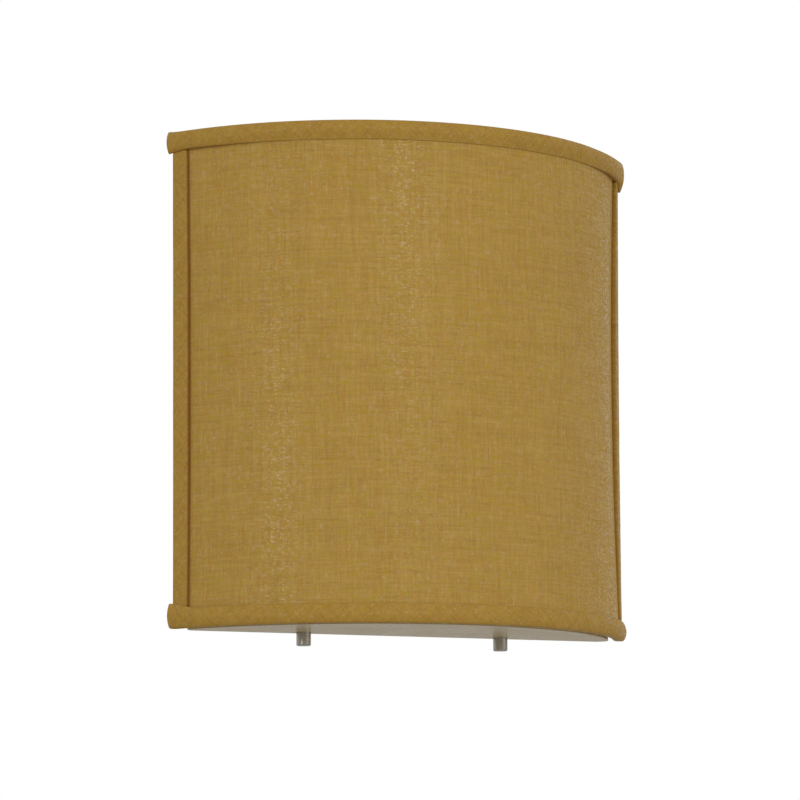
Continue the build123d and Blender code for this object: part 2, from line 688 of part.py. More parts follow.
# ---------------------------------------------------------------- diffuser and its knobs
def diffuser():
    """Flat plate inside the bottom rim, straight along the wall, with two holes."""
    radius = tape_inside - DIFFUSER_MARGIN
    plan = Pos(0, axis_y) * Circle(radius)
    plan -= Pos(0, -DIFFUSER_WALL_GAP + radius) * Rectangle(4 * radius, 2 * radius)
    plan = fillet(plan.vertices(), DIFFUSER_CORNER)
    plate = extrude(Pos(0, 0, -rim_height) * plan, DIFFUSER_THICKNESS)
    plate = fillet(plate.faces().filter_by(Axis.Z).edges(), DIFFUSER_EDGE)
    below = (knob_x, -KNOB_REACH, -rim_height - OVERSHOOT)
    above = (knob_x, -KNOB_REACH, diffuser_top + OVERSHOOT)
    return plate - both(rod(MACHINE_SCREW / 2 + SCREW_CLEARANCE, below, above))


def washers():
    """Two soft washers on the diffuser, under the posts."""
    hole = MACHINE_SCREW / 2 + SCREW_CLEARANCE
    ring = extrude(Circle(WASHER_DIAMETER / 2) - Circle(hole), WASHER_THICKNESS)
    return both(Pos(knob_x, -KNOB_REACH, diffuser_top) * ring)


def diffuser_post():
    """Hexagon spacer under the pan, with a stud that runs up through the pan and down to a knob."""
    foot = diffuser_top + WASHER_THICKNESS + POST_SEAT
    spacer = Pos(0, 0, foot) * hexagon_bar(POST_FLATS, pan_floor - foot)
    tip = -rim_height - KNOB_SEAT - KNOB_BORE_DEPTH + STUD_END_GAP
    stud = rod(MACHINE_SCREW / 2, (0, 0, tip), (0, 0, pan_floor + POST_STUD_RISE))
    stud = chamfer(stud.edges().filter_by(GeomType.CIRCLE), STUD_CHAMFER)
    return Pos(knob_x, -KNOB_REACH, 0) * (spacer + stud)


def post_nuts():
    """Two hexagon nuts inside the pan, one on each post."""
    nut = hexagon_bar(POST_NUT_FLATS, POST_NUT_HEIGHT)
    nut -= extrude(Circle(MACHINE_SCREW / 2 + THREAD_GAP), POST_NUT_HEIGHT)
    return both(Pos(knob_x, -KNOB_REACH, pan_floor + PAN_SHEET) * nut)


def knob():
    """Plain round knob with a blind threaded bore, screwed on the stud from below."""
    top = -rim_height - KNOB_SEAT
    body = extrude(Circle(KNOB_DIAMETER / 2), KNOB_HEIGHT)
    body = chamfer(body.edges().group_by(Axis.Z)[0], KNOB_CHAMFER)
    body = Pos(0, 0, top - KNOB_HEIGHT) * body
    body -= rod(MACHINE_SCREW / 2 + THREAD_GAP, (0, 0, top - KNOB_BORE_DEPTH), (0, 0, top))
    return Pos(knob_x, -KNOB_REACH, 0) * body


# ---------------------------------------------------------------- every piece, by name
pieces = {
    "fabric_panel": fabric_panel(),
    "liner": liner(),
    "top_ring": ring_wire(),
    "bottom_ring": mirror(ring_wire(), Plane.XY),
    "top_tape": rim_tape(),
    "bottom_tape": mirror(rim_tape(), Plane.XY),
    "pan": pan(),
    "pan_bottom_plate": drilled_end_plate(),
    "pan_top_plate": mirror(end_plate(), Plane.XY),
    "crossbar": crossbar(),
    "pan_screws": pan_screws(),
    "cap_nuts": cap_nuts(),
    "ground_screw": ground_screw(),
    "wire_bushing": wire_bushing(),
    "hook_screws": hook_screws(),
    "bracket_screws": bracket_screws(),
    "diffuser": diffuser(),
    "diffuser_washers": washers(),
    "post_nuts": post_nuts(),
}
upright_length = ring_height - FRAME_WIRE / 2 - GLUE_LINE
for name, side in (("left", LEFT), ("right", RIGHT)):
    pieces[f"upright_{name}"] = on_side(upright(FRAME_WIRE / 2, upright_length), side)
    pieces[f"side_tape_{name}"] = on_side(side_tape(), side)
    pieces[f"upper_hanger_{name}"] = on_side(hanger(hook_height), side)
    pieces[f"lower_hanger_{name}"] = on_side(hanger(-hook_height), side)
    pieces[f"socket_bracket_{name}"] = on_side(socket_bracket(), side)
    pieces[f"lampholder_{name}"] = on_side(lampholder(), side)
    pieces[f"screw_shell_{name}"] = on_side(screw_shell(), side)
    pieces[f"centre_contact_{name}"] = on_side(centre_contact(), side)
    pieces[f"nipple_{name}"] = on_side(nipple(), side)
    pieces[f"locknut_{name}"] = on_side(locknut(), side)
    pieces[f"lamp_contact_{name}"] = on_side(lamp_contact(), side)
    pieces[f"lamp_insulator_{name}"] = on_side(lamp_insulator(), side)
    pieces[f"lamp_cap_{name}"] = on_side(lamp_cap(), side)
    pieces[f"lamp_glass_{name}"] = on_side(lamp_glass(), side)
    pieces[f"diffuser_post_{name}"] = on_side(diffuser_post(), side)
    pieces[f"knob_{name}"] = on_side(knob(), side)

os.makedirs("parts", exist_ok=True)
for name, piece in pieces.items():
    export_step(piece, f"parts/{name}.step")
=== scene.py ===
"""A half-round fabric wall light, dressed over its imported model. Metres; +Z up, +Y into the wall."""
import functools
import json
import math
from collections import namedtuple

import bmesh
import bpy
from bpy.props import FloatProperty, FloatVectorProperty, PointerProperty
from mathutils import Matrix, Vector, noise


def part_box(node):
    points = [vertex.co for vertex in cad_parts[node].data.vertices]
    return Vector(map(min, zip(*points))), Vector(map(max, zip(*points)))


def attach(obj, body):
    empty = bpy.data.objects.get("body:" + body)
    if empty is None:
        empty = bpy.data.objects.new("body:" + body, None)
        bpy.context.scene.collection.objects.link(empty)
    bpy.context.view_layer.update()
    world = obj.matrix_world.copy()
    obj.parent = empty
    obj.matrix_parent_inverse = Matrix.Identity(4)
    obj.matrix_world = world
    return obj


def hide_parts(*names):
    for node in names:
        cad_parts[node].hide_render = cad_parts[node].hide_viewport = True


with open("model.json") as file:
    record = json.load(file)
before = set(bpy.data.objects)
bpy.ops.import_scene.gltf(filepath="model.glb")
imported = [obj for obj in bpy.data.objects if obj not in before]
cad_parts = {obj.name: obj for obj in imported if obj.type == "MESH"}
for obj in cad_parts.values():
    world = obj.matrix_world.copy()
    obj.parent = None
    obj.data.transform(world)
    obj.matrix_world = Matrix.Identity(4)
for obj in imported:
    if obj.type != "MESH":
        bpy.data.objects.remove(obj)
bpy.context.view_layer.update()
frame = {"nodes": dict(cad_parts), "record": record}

bl_info = {
    "name": "Half-Round Fabric Wall Light",
    "version": (1, 0, 0),
    "blender": (4, 5, 0),
    "location": "View3D > Sidebar > Wall Light",
    "description": "Cloth, tapes, lamps, fixings and finishes of a half-round fabric wall light",
    "category": "Add Mesh",
}

MM = 0.001
LEFT = -1
RIGHT = 1
SIDES = (("left", LEFT), ("right", RIGHT))


# ---------------------------------------------------------------- sizes read from the frame
def arc_of(node):
    """Axis, outer radius and half angle of a curved node, from its front and its side edge."""
    points = [vertex.co for vertex in frame["nodes"][node].data.vertices]
    front = min(point.y for point in points)
    edge = max(points, key=lambda point: point.x)
    rise = edge.y - front
    radius = (edge.x**2 + rise**2) / (2 * rise)
    return front + radius, radius, math.atan2(edge.x, radius - rise)


AXIS_Y, CLOTH_RADIUS, CLOTH_ANGLE = arc_of("fabric_panel")
CLOTH_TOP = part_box("fabric_panel")[1].z
RIM_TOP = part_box("top_tape")[1].z
RIM_RADIUS = AXIS_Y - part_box("top_tape")[0].y
TAPE_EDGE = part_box("top_tape")[0].z
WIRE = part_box("top_ring")[1].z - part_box("top_ring")[0].z
RING_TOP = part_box("top_ring")[1].z
WIRE_RADIUS = AXIS_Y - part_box("top_ring")[0].y - WIRE / 2
LINER_RADIUS = AXIS_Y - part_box("liner")[0].y
LINER_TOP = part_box("liner")[1].z
UPRIGHT = (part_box("upright_right")[0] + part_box("upright_right")[1]) / 2

# ---------------------------------------------------------------- sizes that go with them
LINER_SHEET = 0.6 * MM
LINER_INSIDE = LINER_RADIUS - LINER_SHEET
TAPE_WRAP = WIRE / 2 + 0.9 * MM  # a wire's middle to the outside of the tape folded round it
SIDE_FOLD = 0.9 * MM  # of a side tape, past the side edge of the cloth
EDGE_ANGLE = CLOTH_ANGLE + SIDE_FOLD / CLOTH_RADIUS  # of the side tapes' back edges
SIDE_TAPE_LAP = 0.8 * MM  # of a side tape, under the rim tapes' hems
MM_ANGLE = MM / CLOTH_RADIUS  # one millimetre along the cloth, as an angle
RIM_STEPS = 120  # round a rim tape
SIDE_RINGS = 90  # up a side tape
FINE_BAND = 27 * MM  # of a curved sheet, along its side edges, where its steps are short
FINE_MARGIN = 4 * MM  # of a curved sheet, past the rim tapes' hems, where its rows are close

# ---------------------------------------------------------------- how hand sewing departs from even, and the shade painted along the tapes
# Each end of a rim tape, in mm: how far its hem hangs towards the middle of the shade, how far its
# top fold lifts, how far it runs past the edge, over what length these come in, how far it stands
# out at the fold, and over what length that comes in.
TapeEnd = namedtuple("TapeEnd", "droop lift reach spread flare widening")
TAPE_ENDS = {
    ("top", LEFT): TapeEnd(2.0, 0.9, 1.2, 12, 0.6, 12),
    ("top", RIGHT): TapeEnd(6.8, 2.6, 0.0, 11, 3.7, 66),
    ("bottom", LEFT): TapeEnd(4.2, 0.0, 1.0, 20, 0.3, 20),
    ("bottom", RIGHT): TapeEnd(0.0, 0.0, 0.0, 10, 0.0, 10),
}
# Waves along a rim tape, in mm: their length, how far they push it out and how far they move its
# hem. Row and slant choose the stretch of noise that they follow.
Wave = namedtuple("Wave", "length out along_hem row slant")
RIM_WAVES = (Wave(31, 0.22, 0.25, 3.1, 0.4), Wave(9, 0.1, 0.08, 7.7, 0.8))
HEM_PRESS = 0.65  # how flat a rim tape's hem is pressed, straight ahead
FOLD_PRESS = 0.3  # share of that at its fold
PRESS_SPAN = (0.5, 0.95)  # shares of the way to a side between which the pressing ends
HEM_SHADOW = 0.4  # painted shadow: how dark the line under the top tape's hem is painted, at the sides
HEM_SHADOW_SPAN = (0.55, 0.95)  # shares of the way to a side between which that painted shadow comes in
FULLNESS = {LEFT: 1.6, RIGHT: 1.9}  # thickness of each side tape, over the set one
LEAN = {LEFT: 0.0, RIGHT: 0.7 * MM}  # how much further out it stands at the top than halfway up
SEAM_SHADE = {LEFT: 0.7, RIGHT: 0.15}  # how dark the painted shade in the line beside it is
DRAWN_IN = {LEFT: 0.6, RIGHT: 1.15}  # how far the cloth is drawn in beside it, over the set sink
SIDE_WAVE_LENGTH = 23  # mm, of the waves in a side tape's face
SIDE_WAVE = 0.12 * MM
WANDER_LENGTH = 40  # mm, of the slower waves in its edge
WANDER = 0.25 * MM

# ---------------------------------------------------------------- stage
# Degrees from straight ahead and above the horizon, metres to the middle of the wall, metres wide
# and high, and watts. The left one gives the cloth its narrow sheen near the left, the front one
# the broad sheen in the middle, and the right one fills the far side.
Softbox = namedtuple("Softbox", "name azimuth elevation distance size power")
SOFTBOXES = (
    Softbox("left_softbox", -53.4, 3.5, 2.27, (0.08, 0.34), 8.0),
    Softbox("front_softbox", 0.5, 15, 2.2, (0.42, 0.5), 9.5),
    Softbox("right_softbox", 42, -14, 2.2, (1.5, 0.6), 5.6),
)
LIT_PLACE = (0, -0.05, 0)  # that the softboxes face
CAMERA_AIM = Vector((0, -0.008, 0))
CAMERA_SHIFT = (0.41 * MM, 5.78 * MM)  # of the camera, left and down from the line to its aim
FLOOR_REACH = 60
FLOOR_HEIGHT = -2.4
WORLD_FILL = 0.75  # strength of the white world as it lights the object


def polar(radius, angle, height=0.0):
    """Point on the shade's curve, at an angle from straight ahead, positive to the right."""
    return Vector((radius * math.sin(angle), AXIS_Y - radius * math.cos(angle), height))


def angle_of(point):
    """Angle of a point from straight ahead, about the shade's axis."""
    return math.atan2(point.x, AXIS_Y - point.y)


def radius_of(point):
    """Distance of a point from the shade's axis."""
    return math.hypot(point.x, AXIS_Y - point.y)


def side_of(angle):
    """Side of the shade that an angle lies on."""
    return LEFT if angle < 0 else RIGHT


def smooth(value, low, high):
    """0 below low, 1 above high, and a soft step between them."""
    share = max(0.0, min(1.0, (value - low) / (high - low)))
    return share * share * (3 - 2 * share)


def towards_side(angle, end, span):
    """Soft step between two shares of the way from straight ahead to an end."""
    return smooth(abs(angle), span[0] * end, span[1] * end)


# ---------------------------------------------------------------- what a user would change
def linear(code):
    """An sRGB hex colour as linear RGBA."""
    channels = [int(code[i : i + 2], 16) / 255 for i in (1, 3, 5)]
    return (*[c / 12.92 if c <= 0.04045 else ((c + 0.055) / 1.055) ** 2.4 for c in channels], 1.0)


def colour_setting(name, description, code):
    """A colour that a user can change, given in sRGB."""
    return FloatVectorProperty(
        name=name, description=description, default=linear(code), subtype="COLOR", size=4, min=0, max=1
    )


class WallLightSizes(bpy.types.PropertyGroup):
    """Sizes of the pieces that are modelled here."""

    tape_crown: FloatProperty(
        name="Tape crown",
        description="How far the middle of a rim tape stands over the cloth",
        default=RIM_RADIUS - CLOTH_RADIUS,
        unit="LENGTH",
    )
    tape_edge_rise: FloatProperty(
        name="Tape edge",
        description="How far the folded edges of a rim tape stand over the cloth",
        default=2.3 * MM,
        unit="LENGTH",
    )
    tape_end: FloatProperty(
        name="Tape end",
        description="How far a rim tape runs past the back edges of the shade",
        default=0.8 * MM,
        unit="LENGTH",
    )
    side_tape_width: FloatProperty(
        name="Side tape width",
        description="Width of the tapes down the back edges of the shade",
        default=12.0 * MM,
        unit="LENGTH",
    )
    side_tape_rise: FloatProperty(
        name="Side tape thickness",
        description="How far a side tape's folded edge stands over the cloth",
        default=1.1 * MM,
        unit="LENGTH",
    )
    cloth_thickness: FloatProperty(
        name="Cloth thickness",
        description="Thickness of the cloth on its stiff backing",
        default=0.6 * MM,
        unit="LENGTH",
    )
    sink: FloatProperty(
        name="Sink",
        description="How far the cloth and its backing draw in beside a side tape, at mid height",
        default=2.1 * MM,
        unit="LENGTH",
    )
    sink_reach: FloatProperty(
        name="Sink reach",
        description="How far from a side tape the cloth begins to draw in",
        default=38.0 * MM,
        unit="LENGTH",
    )
    thread_spacing: FloatProperty(
        name="Thread spacing",
        description="Distance between threads; drawn at twice the real one, so that it shows",
        default=0.75 * MM,
        unit="LENGTH",
    )


class WallLightColours(bpy.types.PropertyGroup):
    """Colours of the cloth, the tapes and the parts that show."""

    cloth_thread: colour_setting("Cloth thread", "Threads of the cloth that lie on top", "#a88743")
    cloth_gap: colour_setting("Cloth gap", "Threads of the cloth that lie deeper", "#957332")
    cloth_olive: colour_setting("Olive yarn", "Greener lengths of the cloth's yarn", "#9a8222")
    cloth_rust: colour_setting("Rust yarn", "Redder lengths of the cloth's yarn", "#a3752b")
    cloth_slub: colour_setting("Pale slubs", "Short pale lengths of the cloth's yarn", "#b0926a")
    tape_thread: colour_setting("Tape thread", "Threads of the tapes that lie on top", "#a27f3a")
    tape_gap: colour_setting("Tape gap", "Threads of the tapes that lie deeper", "#8e6c2b")
    # Painted shade: colour of the dark lines along the tapes' folded edges and under the top tape's hem.
    seam: colour_setting("Seam", "Dark line where a tape's folded edge meets the cloth", "#7a4c18")
    # Painted shade and reflection: the diffuser is set darker and browner than the white acrylic is.
    diffuser: colour_setting("Diffuser", "Opal acrylic of the plate below", "#a08e6a")
    enamel: colour_setting("Enamel", "Baked enamel of the pan", "#e6e6e1")


class WallLightStage(bpy.types.PropertyGroup):
    """Where the camera stands, and its lens."""

    yaw: FloatProperty(
        name="Yaw",
        description="How far to the left of straight ahead the camera stands",
        default=math.radians(23.537),
        subtype="ANGLE",
    )
    pitch: FloatProperty(
        name="Pitch",
        description="How far the camera looks up",
        default=math.radians(7.734),
        subtype="ANGLE",
    )
    roll: FloatProperty(
        name="Roll",
        description="Turn of the camera about its line of sight",
        default=math.radians(0.412),
        subtype="ANGLE",
    )
    distance: FloatProperty(
        name="Distance",
        description="From the camera to the middle of the shade's back edges",
        default=2.6965,
        unit="LENGTH",
    )
    lens: FloatProperty(
        name="Lens",
        description="Focal length for a sensor 36 mm wide, in millimetres",
        default=195.23,
    )


# ---------------------------------------------------------------- meshes
def chain(bm, points, closed=False):
    """Vertices at a few points, joined by edges."""
    corners = [bm.verts.new(point) for point in points]
    pairs = list(zip(corners, corners[1:]))
    if closed:
        pairs.append((corners[-1], corners[0]))
    return corners + [bm.edges.new(pair) for pair in pairs]


def edges_of(parts):
    """The edges among vertices and edges."""
    return [part for part in parts if isinstance(part, bmesh.types.BMEdge)]


def spin(bm, geometry, angle, steps):
    """Sweep geometry about the shade's axis, and return what the end holds."""
    made = bmesh.ops.spin(
        bm, geom=geometry, cent=(0, AXIS_Y, 0), axis=(0, 0, 1), angle=angle, steps=steps
    )
    return made["geom_last"]


def extrude_up(bm, edges, height, rings):
    """Extrude edges straight up in even rings, and return the top ones."""
    for _ in range(rings):
        edges = edges_of(bmesh.ops.extrude_edge_only(bm, edges=edges)["geom"])
        fresh = {vertex for edge in edges for vertex in edge.verts}
        bmesh.ops.translate(bm, verts=list(fresh), vec=(0, 0, height / rings))
    return edges


def weave_map(bm, place):
    """UV map of the weave, in metres on the cloth; place gives it for a face's corner."""
    layer = bm.loops.layers.uv.new("weave")
    for face in bm.faces:
        for loop in face.loops:
            loop[layer].uv = place(loop)


def object_from(bm, name):
    """Put a bmesh in the scene as a smooth, named object at the origin."""
    mesh = bpy.data.meshes.new(name)
    for face in bm.faces:
        face.smooth = True
    bm.to_mesh(mesh)
    bm.free()
    made = bpy.data.objects.new(name, mesh)
    bpy.context.scene.collection.objects.link(made)
    return made


def subdivide(piece):
    """One level of subdivision surface, alike in the view and the render."""
    modifier = piece.modifiers.new("Subdivision", "SUBSURF")
    modifier.levels = 1
    modifier.render_levels = 1


def dress(piece, body, slot, *nodes):
    """Give a piece its finish and its body, and let it stand for its nodes."""
    piece.data.materials.append(FINISHES[slot]())
    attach(piece, body)
    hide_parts(*nodes)


# ---------------------------------------------------------------- materials
METAL = {"Metallic": 1.0}
FACTOR, COLOUR_LOW, COLOUR_HIGH = 0, 6, 7  # sockets of a mix node that mixes colours
MIXED_COLOUR = 2
YARN_LAYER = 1.5  # of the noise that places the threads; every further pattern has its own layer
TINT_LAYER = 20.5
SILK_LAYER = 40.5
LAYER_STEP = 3
TINT_SOFTNESS = 0.16  # rise of the noise over which a tint comes in


def add(tree, kind, inputs=None, **settings):
    """Add one node: settings are its own properties, inputs its sockets' values or links."""
    made = tree.nodes.new(kind)
    for name, value in settings.items():
        setattr(made, name, value)
    for socket, value in (inputs or {}).items():
        if isinstance(value, bpy.types.NodeSocket):
            tree.links.new(value, made.inputs[socket])
        else:
            made.inputs[socket].default_value = value
    return made


def begin(name, constants):
    """A new material, its tree and its shader, with constants set on the shader's sockets."""
    made = bpy.data.materials.new(name)
    made.use_nodes = True
    shader = made.node_tree.nodes["Principled BSDF"]
    for socket, value in constants.items():
        shader.inputs[socket].default_value = value
    return made, made.node_tree, shader


def streaks(tree, coordinates, size, detail, layer=0.0):
    """Noise stretched to a size in millimetres; a layer of its own gives another pattern."""
    scale = [1 / length for length in size]
    place = (0, 0, layer)
    mapped = add(tree, "ShaderNodeMapping", {"Vector": coordinates, "Location": place, "Scale": scale})
    made = add(
        tree,
        "ShaderNodeTexNoise",
        {"Vector": mapped.outputs["Vector"], "Scale": 1.0, "Detail": detail, "Roughness": 0.6},
    )
    return made.outputs["Fac"]


def millimetres(tree):
    """Object coordinates in millimetres."""
    source = add(tree, "ShaderNodeTexCoord").outputs["Object"]
    scale = (1 / MM, 1 / MM, 1 / MM)
    return add(tree, "ShaderNodeMapping", {"Vector": source, "Scale": scale}).outputs["Vector"]


def along_threads(tree, turn):
    """The weave's UV map in millimetres, turned to the way the threads run."""
    source = add(tree, "ShaderNodeUVMap", uv_map="weave").outputs["UV"]
    inputs = {"Vector": source, "Rotation": (0, 0, turn), "Scale": (1 / MM, 1 / MM, 1)}
    return add(tree, "ShaderNodeMapping", inputs).outputs["Vector"]


def blend_colour(tree, factor, low, high):
    """Colour between two by a factor."""
    inputs = {FACTOR: factor, COLOUR_LOW: low, COLOUR_HIGH: high}
    return add(tree, "ShaderNodeMix", inputs, data_type="RGBA").outputs[MIXED_COLOUR]


def ranged(tree, value, low, high, to_low=0.0, to_high=1.0):
    """A value's range stretched to another, and held to it."""
    made = add(
        tree,
        "ShaderNodeMapRange",
        {"Value": value, "From Min": low, "From Max": high, "To Min": to_low, "To Max": to_high},
    )
    return made.outputs["Result"]


def weighted(tree, parts):
    """Sum of values, each times its weight."""
    total = 0.0
    for value, weight in parts:
        made = add(tree, "ShaderNodeMath", {0: value, 1: weight, 2: total}, operation="MULTIPLY_ADD")
        total = made.outputs["Value"]
    return total


def chosen_colours():
    """The colours that the user has chosen."""
    return bpy.context.scene.wall_light_colours


# Yarn of a tint lies in patches: their size in mm along the two thread directions, the noise from
# which they come in, and the greatest share of the tint.
Tint = namedtuple("Tint", "colour size low share")


def woven(name, turn, length, gap, thread, tints, constants):
    """Plain weave of uneven yarn, whose marks are some threads long, with tints and painted shade along
    the seams.
    """
    spacing = bpy.context.scene.wall_light_sizes.thread_spacing / MM
    made, tree, shader = begin(name, constants)
    threads = along_threads(tree, turn)

    def marks(wide, high, detail, layer):
        """Noise in marks some threads wide and high."""
        return streaks(tree, threads, (wide * spacing, high * spacing, 1), detail, layer)

    warp = marks(1.3, 1.2 * length, 3.0, YARN_LAYER)
    weft = marks(length, 1.3, 3.0, YARN_LAYER + LAYER_STEP)
    slubs = marks(50, 2.2, 2.0, YARN_LAYER + 2 * LAYER_STEP)
    ridges = marks(2.4, 60, 2.0, YARN_LAYER + 3 * LAYER_STEP)
    height = weighted(tree, ((warp, 0.29), (weft, 0.26), (slubs, 0.23), (ridges, 0.22)))
    crests = ranged(tree, height, 0.4, 0.6)
    colour = blend_colour(tree, crests, gap, thread)
    for number, tint in enumerate(tints):
        patches = streaks(tree, threads, tint.size, 3.0, TINT_LAYER + number * LAYER_STEP)
        share = ranged(tree, patches, tint.low, tint.low + TINT_SOFTNESS, 0.0, tint.share)
        colour = blend_colour(tree, share, colour, tint.colour)
    # Painted shade: the dark lines by the tapes come from a mesh attribute, not from the lamps.
    seam = add(tree, "ShaderNodeAttribute", attribute_name="seam")
    colour = blend_colour(tree, seam.outputs["Fac"], colour, chosen_colours().seam)
    tree.links.new(colour, shader.inputs["Base Color"])
    # Where the yarn is silkiest it is far less rough, so that a sheen breaks up into glints.
    silky = marks(2.8, 1.3, 2.0, SILK_LAYER)
    tree.links.new(ranged(tree, silky, 0.45, 0.65, 0.85, 0.25), shader.inputs["Roughness"])
    bump = add(tree, "ShaderNodeBump", {"Height": crests, "Strength": 0.14, "Distance": 0.25 * MM})
    tree.links.new(bump.outputs["Normal"], shader.inputs["Normal"])
    return made


def cloth_weave():
    """Shade cloth, woven of uneven silk yarn: its threads run upright and around the curve."""
    chosen = chosen_colours()
    tints = (
        Tint(chosen.cloth_olive, (6.0, 1.8, 1), 0.5, 0.65),
        Tint(chosen.cloth_rust, (2.0, 7.0, 1), 0.53, 0.55),
        Tint(chosen.cloth_slub, (1.9, 3.0, 1), 0.57, 0.55),
    )
    constants = {"Specular IOR Level": 0.2}
    return woven("Slubbed Silk Weave", 0, 11, chosen.cloth_gap, chosen.cloth_thread, tints, constants)


def tape_weave():
    """The same cloth cut on the bias for the tapes, so its threads lie at 45 degrees."""
    chosen = chosen_colours()
    tints = (
        Tint(chosen.cloth_olive, (3.0, 1.6, 1), 0.5, 0.55),
        Tint(chosen.cloth_rust, (1.8, 3.0, 1), 0.53, 0.55),
        Tint(chosen.cloth_slub, (1.6, 1.8, 1), 0.57, 0.55),
    )
    bias = math.radians(45)
    constants = {"Specular IOR Level": 0.15}
    return woven("Bias-Cut Tape", bias, 3.5, chosen.tape_gap, chosen.tape_thread, tints, constants)


def plain(name, colours, roughness, grain, constants=None, bump=0.0, peak=0.05):
    """A finish with two near colours and two near roughnesses, patterned by one grain in mm."""
    made, tree, shader = begin(name, constants or {})
    pattern = streaks(tree, millimetres(tree), grain, 3.0)
    shade = ranged(tree, pattern, 0.35, 0.65)
    tree.links.new(blend_colour(tree, shade, *colours), shader.inputs["Base Color"])
    tree.links.new(ranged(tree, pattern, 0.35, 0.65, *roughness), shader.inputs["Roughness"])
    if bump:
        relief = add(tree, "ShaderNodeBump", {"Height": pattern, "Strength": bump, "Distance": peak * MM})
        tree.links.new(relief.outputs["Normal"], shader.inputs["Normal"])
    return made


def styrene():
    """Extruded polystyrene sheet: warm white, matte, and faintly lined up and down."""
    colours = linear("#e2dccb"), linear("#ece7da")
    return plain("Extruded Styrene", colours, (0.5, 0.6), (3, 3, 60))


def powder_coat():
    """Powder-coated steel: satin white with a fine orange peel."""
    colours = linear("#e0ded6"), linear("#e6e4dd")
    return plain("Powder Coat", colours, (0.38, 0.46), (0.5, 0.5, 0.5), bump=0.25, peak=0.03)


def enamel():
    """Baked enamel on folded steel: glossy white, a little wavy."""
    colours = chosen_colours().enamel, linear("#e9e8e3")
    return plain("Baked Enamel", colours, (0.26, 0.31), (9, 9, 9), bump=0.06)


def zinc():
    """Zinc-plated steel, passivated: grey metal with faint cloudy patches."""
    colours = linear("#a9abad"), linear("#bdbcb4")
    return plain("Zinc Plate", colours, (0.3, 0.46), (2.5, 2.5, 2.5), METAL)


def satin_nickel():
    """Turned brass with satin nickel plate: warm grey, with fine lines around it."""
    colours = linear("#8f897d"), linear("#9d978b")
    return plain("Satin Nickel", colours, (0.28, 0.38), (5, 5, 0.25), METAL, bump=0.15)


def green_plate():
    """Steel screw dyed green for the earth lead: dull metal under the dye."""
    colours = linear("#1f6b3a"), linear("#2d8049")
    return plain("Green Dyed Steel", colours, (0.35, 0.5), (1, 1, 1), {"Metallic": 0.6})


def nylon():
    """Moulded natural nylon: milky and slightly waxy."""
    colours = linear("#ded9c8"), linear("#e8e4d6")
    return plain("Moulded Nylon", colours, (0.4, 0.5), (1.5, 1.5, 1.5), bump=0.1)


def phenolic():
    """Moulded phenolic resin: near black, with a soft gloss and tiny pale filler."""
    colours = linear("#1b1613"), linear("#2a231e")
    return plain("Moulded Phenolic", colours, (0.28, 0.4), (0.5, 0.5, 0.5), bump=0.08)


def brass():
    """Rolled brass sheet, bright but handled: warmer and duller in patches."""
    colours = linear("#b08d3f"), linear("#c9a552")
    return plain("Rolled Brass", colours, (0.22, 0.38), (2, 2, 2), METAL)


def acrylic():
    """Cast opal acrylic with a polished face; its base is painted darker and browner than its warm white,
    as shade and a warm reflection.
    """
    colours = chosen_colours().diffuser, linear("#a4926f")
    return plain("Opal Acrylic", colours, (0.26, 0.32), (30, 30, 30), {"Specular IOR Level": 0.1})


def solder():
    """Tin solder, cooled: dull grey metal with a rough skin."""
    colours = linear("#8f9194"), linear("#a9abac")
    return plain("Tin Solder", colours, (0.4, 0.6), (0.5, 0.5, 0.5), METAL)


def black_glass():
    """Vitrite, the black glass that insulates a lamp's contact."""
    colours = linear("#0b0b0e"), linear("#141418")
    return plain("Vitrite Glass", colours, (0.06, 0.14), (1, 1, 1))


def nickel_brass():
    """Nickel-plated brass lamp cap: bright, pressed thin, with a few dull marks."""
    colours = linear("#b3b1aa"), linear("#c8c5bc")
    return plain("Nickel-Plated Brass", colours, (0.16, 0.3), (2, 2, 2), METAL)


def opal_glass():
    """Glass with a silica coating inside: soft white behind a glossy skin."""
    colours = linear("#efece4"), linear("#f4f2ec")
    return plain("Opal Lamp Glass", colours, (0.08, 0.14), (12, 12, 12), {"IOR": 1.5})


def floor_paint():
    """Pale matt floor paint, with the faintest patches."""
    colours = linear("#d6d4cf"), linear("#dad8d3")
    return plain("Painted Floor", colours, (0.55, 0.65), (40, 40, 40))


FINISH_MAKERS = {
    "cloth": cloth_weave,
    "tape": tape_weave,
    "styrene": styrene,
    "frame_wire": powder_coat,
    "pan_enamel": enamel,
    "zinc_plate": zinc,
    "satin_nickel": satin_nickel,
    "green_plate": green_plate,
    "nylon": nylon,
    "phenolic": phenolic,
    "brass": brass,
    "acrylic": acrylic,
    "solder": solder,
    "black_glass": black_glass,
    "nickel_brass": nickel_brass,
    "opal_glass": opal_glass,
}
# Each finish is made the first time it is asked for.
FINISHES = {slot: functools.cache(maker) for slot, maker in FINISH_MAKERS.items()}


